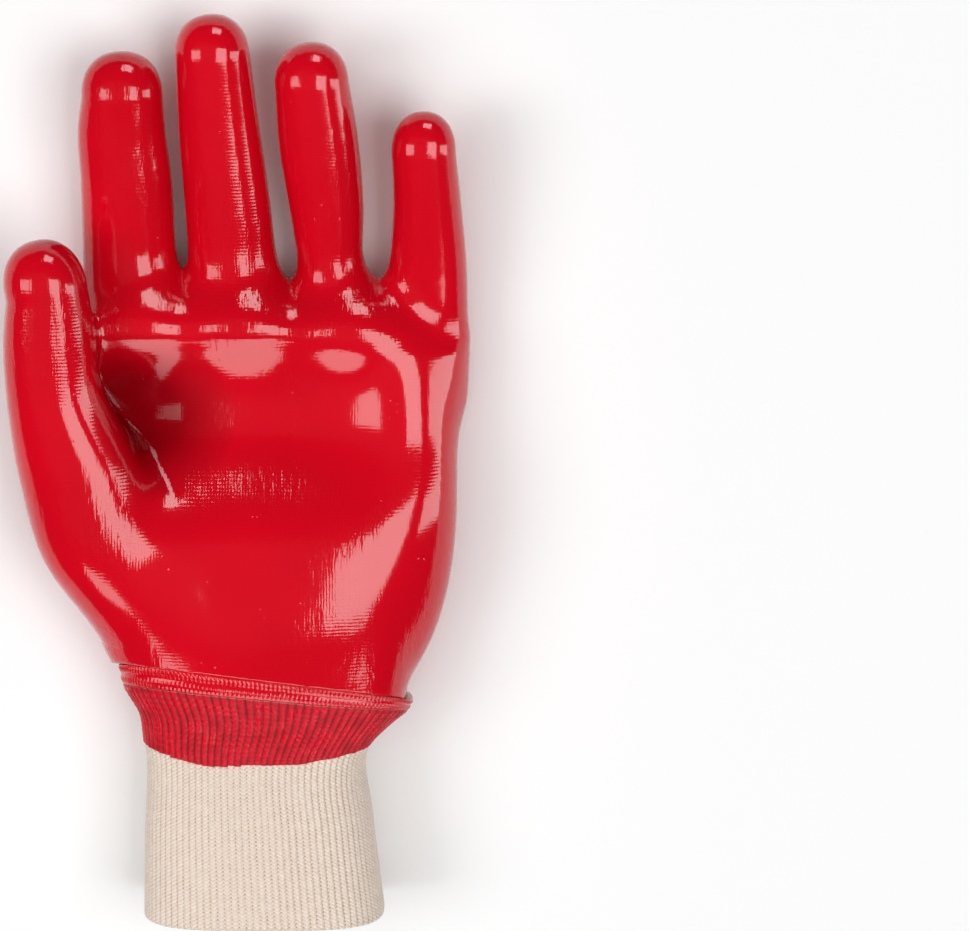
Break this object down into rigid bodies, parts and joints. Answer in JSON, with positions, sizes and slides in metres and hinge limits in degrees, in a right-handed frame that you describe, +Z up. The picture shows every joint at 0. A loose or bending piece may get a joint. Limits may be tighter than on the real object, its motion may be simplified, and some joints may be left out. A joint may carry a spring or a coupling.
{
  "type": "pvc coated work glove",
  "caption": "Left-hand work glove fully dipped in glossy red PVC, hollow to the fingertips, with a sewn wrist seam and a ribbed cream knit cuff, lying palm up.",
  "frame": {"origin": "middle of the glove's footprint, on the surface that it lies on with its palm up", "axes": "+X from the thumb towards the little finger, +Y from the cuff towards the fingertips, +Z up out of the palm"},
  "size_m": [0.1268, 0.2538, 0.0526],
  "materials": {
    "coat": "glossy dipped PVC over cotton, with a fine knit texture printing through",
    "coated_knit": "ribbed knit soaked in glossy PVC",
    "cotton_knit": "natural cotton rib knit, matt, with tan valleys between the ribs"
  },
  "bodies": {
    "root": {"hand_shell": "coat", "wrist_seam": "coat", "coated_band": "coated_knit", "knit_cuff": "cotton_knit"}
  },
  "joints": []
}
